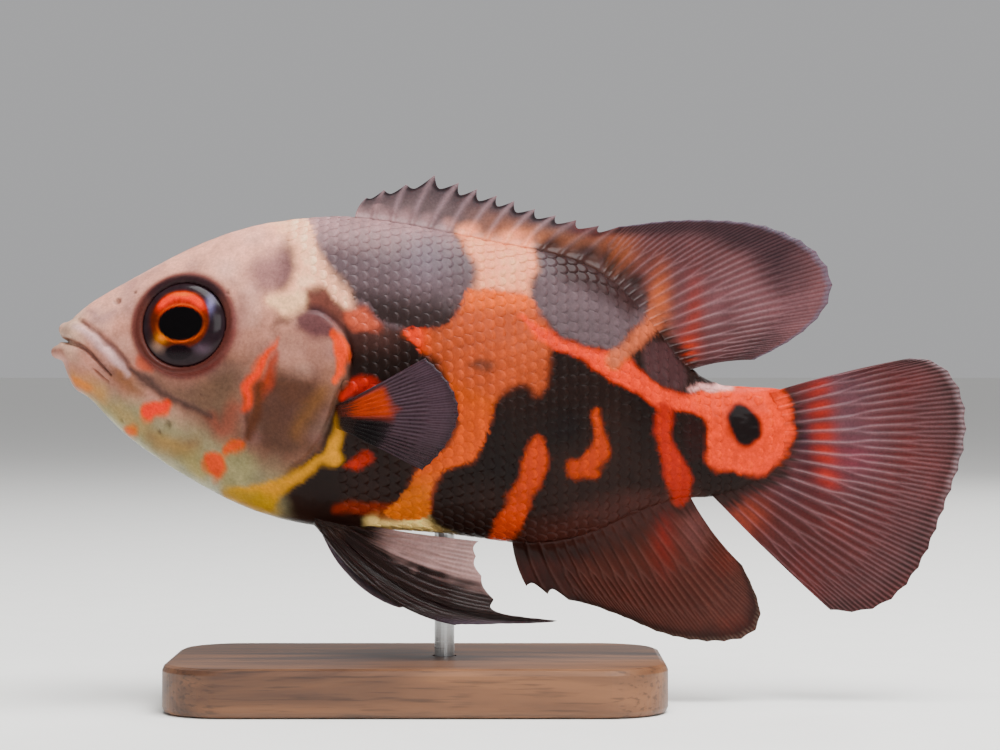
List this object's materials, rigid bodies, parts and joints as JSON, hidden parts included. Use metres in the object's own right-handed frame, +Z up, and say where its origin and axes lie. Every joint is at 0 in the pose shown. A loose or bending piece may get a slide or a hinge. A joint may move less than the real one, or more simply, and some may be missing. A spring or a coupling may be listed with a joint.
{
  "type": "fish display model",
  "caption": "Life-size still model of a juvenile tiger oscar fish, fins spread, held on one short rod over a flat display base.",
  "frame": {"origin": "centre of the bounding box at the underside of the stand's base", "axes": "+Z up; the fish swims towards -X, with its tail at +X; its left side faces -Y; the XZ plane is its middle plane"},
  "size_m": [0.1152, 0.034, 0.0665],
  "materials": {
    "flesh_pale": "satin, painted as pinkish fish skin",
    "flesh_dark": "satin, painted as dark mottled fish skin",
    "flesh_orange": "satin, painted as orange-red fish skin",
    "fin": "satin, thin ribbed fins",
    "eye": "glossy",
    "stand_wood": "oiled walnut",
    "stand_steel": "brushed"
  },
  "bodies": {
    "root": {"head": "flesh_pale", "lower_jaw": "flesh_pale", "gill_cover_left": "flesh_pale", "gill_cover_right": "flesh_pale", "trunk": "flesh_dark", "tail_base": "flesh_orange", "dorsal_fin": "fin", "anal_fin": "fin", "caudal_fin": "fin", "pectoral_fin_left": "fin", "pectoral_fin_right": "fin", "pelvic_fin_left": "fin", "pelvic_fin_right": "fin", "eye_left": "eye", "eye_right": "eye", "stand_base": "stand_wood", "stand_rod": "stand_steel"}
  },
  "joints": []
}
